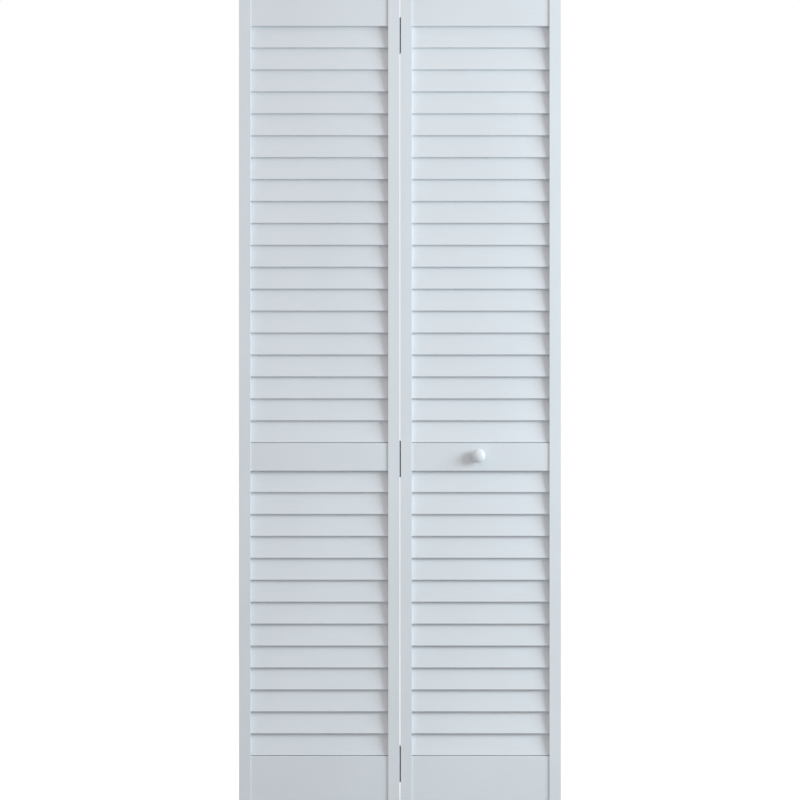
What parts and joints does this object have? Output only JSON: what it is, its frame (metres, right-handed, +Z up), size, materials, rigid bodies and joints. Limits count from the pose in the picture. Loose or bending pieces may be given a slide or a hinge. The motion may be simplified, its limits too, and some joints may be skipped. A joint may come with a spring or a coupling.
{
  "type": "bifold closet door",
  "caption": "Louvred bifold closet door: two slatted panels hinged together, with knob, floor and header pivots, guide wheel and header track.",
  "frame": {"origin": "on the jamb pivot's axis at floor level, under the middle of the door's thickness", "axes": "+Z up; +X along the closed door from the pivot jamb to the far jamb; -Y is the room side with the knob, +Y the closet side"},
  "size_m": [0.8115, 0.0587, 2.0482],
  "materials": {
    "painted_wood": "satin white paint over a factory primer",
    "painted_knob": "semi-gloss white paint, turned wood",
    "raw_wood": "raw hardwood, fluted dowel stock",
    "hinge_steel": "zinc-plated, satin",
    "zinc_steel": "bright zinc plate",
    "spring_steel": "oiled spring wire",
    "white_nylon": "moulded, slightly waxy",
    "track_steel": "white baked enamel"
  },
  "bodies": {
    "mounting_hardware": {"bottom_pivot_post": "zinc_steel", "jamb_bracket": "zinc_steel", "top_bracket_set_screw": "zinc_steel", "top_pivot_bracket": "zinc_steel", "track": "track_steel"},
    "thrust_washer": {"thrust_washer": "white_nylon"},
    "adjusting_nut": {"adjusting_nut": "zinc_steel"},
    "pivot_panel": {"bottom_hinge_left_leaf": "hinge_steel", "bottom_hinge_pin": "hinge_steel", "bottom_pivot_sleeve": "white_nylon", "left_bottom_rail": "painted_wood", "left_dowels": "raw_wood", "left_hinge_screws": "hinge_steel", "left_hinge_stile": "painted_wood", "left_jamb_stile": "painted_wood", "left_lower_slats": "painted_wood", "left_middle_rail": "painted_wood", "left_top_rail": "painted_wood", "left_upper_slats": "painted_wood", "middle_hinge_left_leaf": "hinge_steel", "middle_hinge_pin": "hinge_steel", "top_hinge_left_leaf": "hinge_steel", "top_hinge_pin": "hinge_steel", "top_pivot_sleeve": "white_nylon", "top_pivot_spring": "spring_steel"},
    "lead_panel": {"bottom_hinge_right_leaf": "hinge_steel", "guide_sleeve": "white_nylon", "guide_spring": "spring_steel", "knob": "painted_knob", "knob_screw": "zinc_steel", "middle_hinge_right_leaf": "hinge_steel", "right_bottom_rail": "painted_wood", "right_dowels": "raw_wood", "right_guide_stile": "painted_wood", "right_hinge_screws": "hinge_steel", "right_hinge_stile": "painted_wood", "right_lower_slats": "painted_wood", "right_middle_rail": "painted_wood", "right_top_rail": "painted_wood", "right_upper_slats": "painted_wood", "top_hinge_right_leaf": "hinge_steel"},
    "top_pivot_pin": {"top_pivot_pin": "zinc_steel"},
    "guide_pin": {"guide_pin": "zinc_steel", "guide_wheel_retainer": "zinc_steel"},
    "guide_wheel": {"guide_wheel": "white_nylon"}
  },
  "joints": [
    {"name": "height_adjust", "type": "slide", "parent": "mounting_hardware", "child": "thrust_washer", "axis": [0, 0, 1], "range_m": [-0.0025, 0.0025]},
    {"name": "nut_turn", "type": "hinge", "parent": "thrust_washer", "child": "adjusting_nut", "pos_m": [0, 0, 0.014], "axis": [0, 0, 1], "range_deg": [-710, 710]},
    {"name": "jamb_pivot", "type": "hinge", "parent": "thrust_washer", "child": "pivot_panel", "pos_m": [0, 0, 0.0222], "axis": [0, 0, -1], "range_deg": [0, 86]},
    {"name": "fold_hinge", "type": "hinge", "parent": "pivot_panel", "child": "lead_panel", "pos_m": [0.3857, 0.0179, 0.87321], "axis": [0, 0, 1], "range_deg": [0, 173]},
    {"name": "top_pivot_plunge", "type": "slide", "parent": "pivot_panel", "child": "top_pivot_pin", "axis": [0, 0, -1], "range_m": [0, 0.01], "stiffness_N_per_m": 800, "springref_m": -0.01, "deforming": ["top_pivot_spring"]},
    {"name": "guide_plunge", "type": "slide", "parent": "lead_panel", "child": "guide_pin", "axis": [0, 0, -1], "range_m": [0, 0.008], "stiffness_N_per_m": 800, "springref_m": -0.01, "deforming": ["guide_spring"]},
    {"name": "guide_wheel_spin", "type": "hinge", "parent": "guide_pin", "child": "guide_wheel", "pos_m": [0.7714, 0, 2.0287], "axis": [0, 0, 1], "continuous": true}
  ],
  "couplings": [
    {"joint": "nut_turn", "follows": "height_adjust", "rad_per_m": 4947.4},
    {"joint": "fold_hinge", "follows": "jamb_pivot", "ratio": 2}
  ]
}
